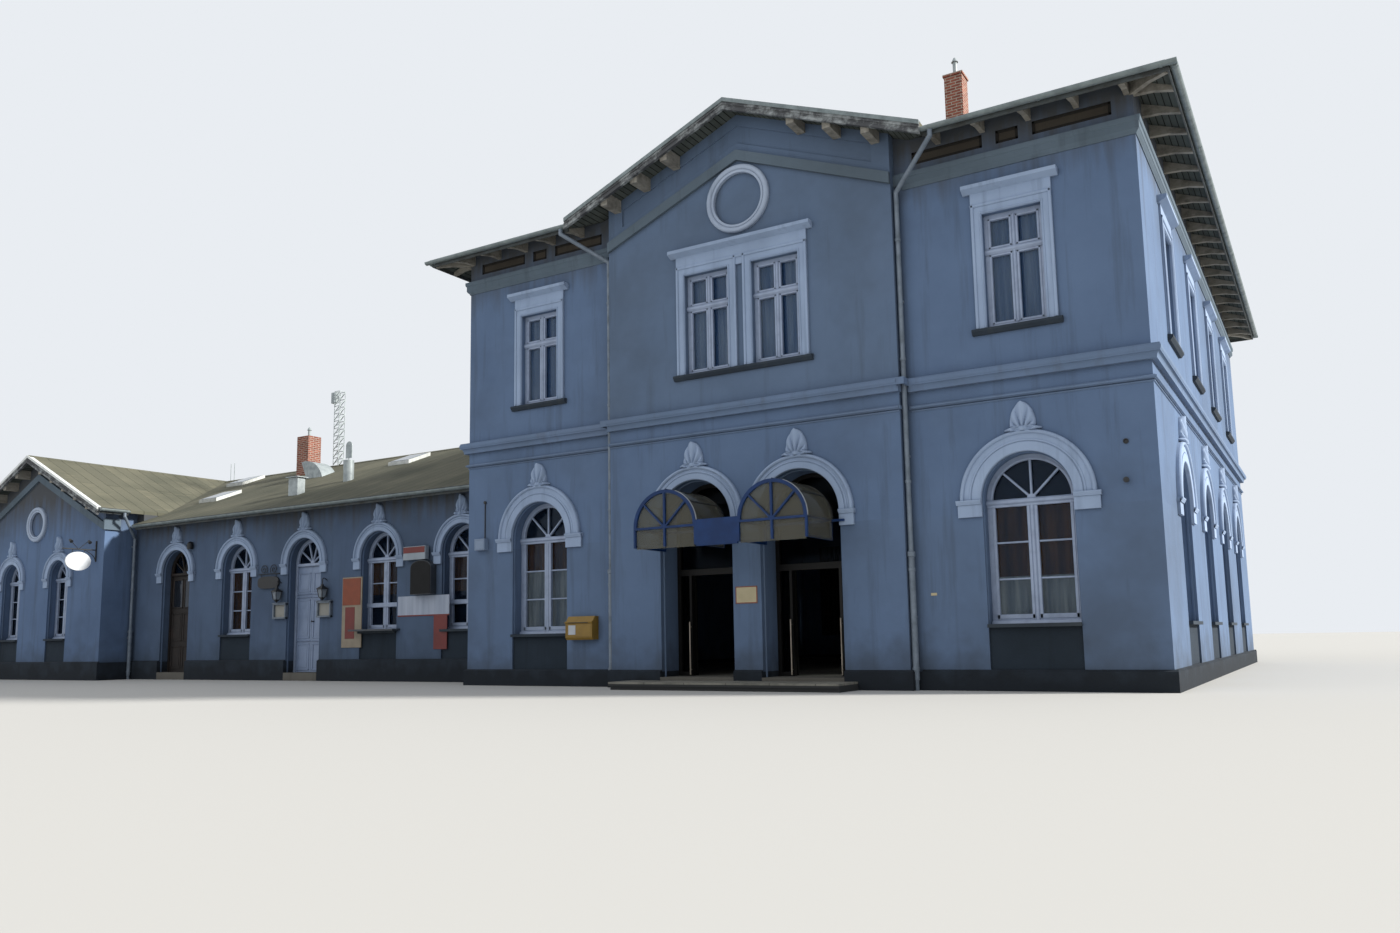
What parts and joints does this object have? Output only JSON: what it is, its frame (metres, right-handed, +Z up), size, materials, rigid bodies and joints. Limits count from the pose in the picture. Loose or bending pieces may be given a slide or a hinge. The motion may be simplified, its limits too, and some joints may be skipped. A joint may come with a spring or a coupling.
{
  "type": "scale model of a railway station building",
  "caption": "Railway station building at half size: two-storey gabled main block with arched windows and barrel canopies, a long low wing and an end pavilion.",
  "frame": {"origin": "on the ground, in the middle of the main block's front wall face", "axes": "+X along the front to the right, +Y into the building, +Z up"},
  "size_m": [22.008, 10.789, 7.88],
  "materials": {
    "render": "painted lime render, matt",
    "plinth_render": "painted render, matt",
    "floor_screed": "matt",
    "roof_felt": "bitumen felt on boards",
    "eave_timber": "weathered white paint",
    "zinc": "painted sheet zinc",
    "brick": "red brick, matt",
    "white_render": "white painted render",
    "sill_render": "dark blue-grey paint",
    "window_paint": "white gloss paint on wood",
    "window_glass": "clear",
    "dark_frame": "dark brown coated",
    "blue_steel": "blue paint",
    "dark_wood": "dark brown stain",
    "landing_stone": "worn stone",
    "yellow_paint": "yellow paint"
  },
  "bodies": {
    "building": {"front_wall_left": "render", "front_wall_right": "render", "entrance_piers": "render", "entrance_wall_head": "render", "centre_wall_upper": "render", "right_wall": "render", "left_wall": "render", "rear_wall": "render", "wing_front_wall": "render", "wing_rear_wall": "render", "pavilion_front_wall": "render", "pavilion_rear_wall": "render", "pavilion_side_walls": "render", "plinth": "plinth_render", "ground_floor": "floor_screed", "upper_floor": "floor_screed", "main_roof": "roof_felt", "centre_roof": "roof_felt", "wing_roof": "roof_felt", "pavilion_roof": "roof_felt", "roof_timbers": "eave_timber", "fascias": "eave_timber", "bargeboards": "eave_timber", "gutters": "zinc", "downpipes": "zinc", "roof_vents": "zinc", "skylights": "zinc", "roof_mast": "zinc", "wall_box": "zinc", "chimneys": "brick", "string_course": "white_render", "frieze": "white_render", "arch_surrounds": "white_render", "arch_ornaments": "white_render", "upper_window_trims": "white_render", "round_window_rings": "white_render", "window_sills": "sill_render", "arched_window_frames": "window_paint", "upper_window_frames": "window_paint", "white_door_frame": "window_paint", "arched_window_glass": "window_glass", "upper_window_glass": "window_glass", "entrance_glass": "window_glass", "door_fanlight_glass": "window_glass", "canopy_glass": "window_glass", "entrance_frames": "dark_frame", "entrance_rails": "dark_frame", "canopy_frames": "blue_steel", "dark_door_frame": "dark_wood", "serving_shelf": "dark_wood", "landing": "landing_stone", "post_box": "yellow_paint"},
    "left_entrance_left_leaf": {"left_entrance_left_leaf": "dark_frame"},
    "left_entrance_right_leaf": {"left_entrance_right_leaf": "dark_frame"},
    "right_entrance_left_leaf": {"right_entrance_left_leaf": "dark_frame"},
    "right_entrance_right_leaf": {"right_entrance_right_leaf": "dark_frame"},
    "white_door_left_leaf": {"white_door_left_leaf": "window_paint"},
    "white_door_right_leaf": {"white_door_right_leaf": "window_paint"},
    "dark_door_leaf": {"dark_door_leaf": "dark_wood"}
  },
  "joints": [
    {"name": "left_entrance_close", "type": "slide", "parent": "building", "child": "left_entrance_left_leaf", "axis": [1, 0, 0], "range_m": [0, 0.2725]},
    {"name": "left_entrance_follow", "type": "slide", "parent": "building", "child": "left_entrance_right_leaf", "axis": [-1, 0, 0], "range_m": [0, 0.2725]},
    {"name": "right_entrance_close", "type": "slide", "parent": "building", "child": "right_entrance_left_leaf", "axis": [1, 0, 0], "range_m": [0, 0.2725]},
    {"name": "right_entrance_follow", "type": "slide", "parent": "building", "child": "right_entrance_right_leaf", "axis": [-1, 0, 0], "range_m": [0, 0.2725]},
    {"name": "white_left_hinge", "type": "hinge", "parent": "building", "child": "white_door_left_leaf", "pos_m": [-8.5865, 0.95, 0.9], "axis": [0, 0, 1], "range_deg": [0, 90]},
    {"name": "white_right_hinge", "type": "hinge", "parent": "building", "child": "white_door_right_leaf", "pos_m": [-7.9135, 0.95, 0.9], "axis": [0, 0, -1], "range_deg": [0, 90]},
    {"name": "dark_door_hinge", "type": "hinge", "parent": "building", "child": "dark_door_leaf", "pos_m": [-11.8865, 0.95, 0.9], "axis": [0, 0, 1], "range_deg": [0, 90]}
  ],
  "couplings": [
    {"joint": "left_entrance_follow", "follows": "left_entrance_close", "ratio": 1},
    {"joint": "right_entrance_follow", "follows": "right_entrance_close", "ratio": 1}
  ]
}
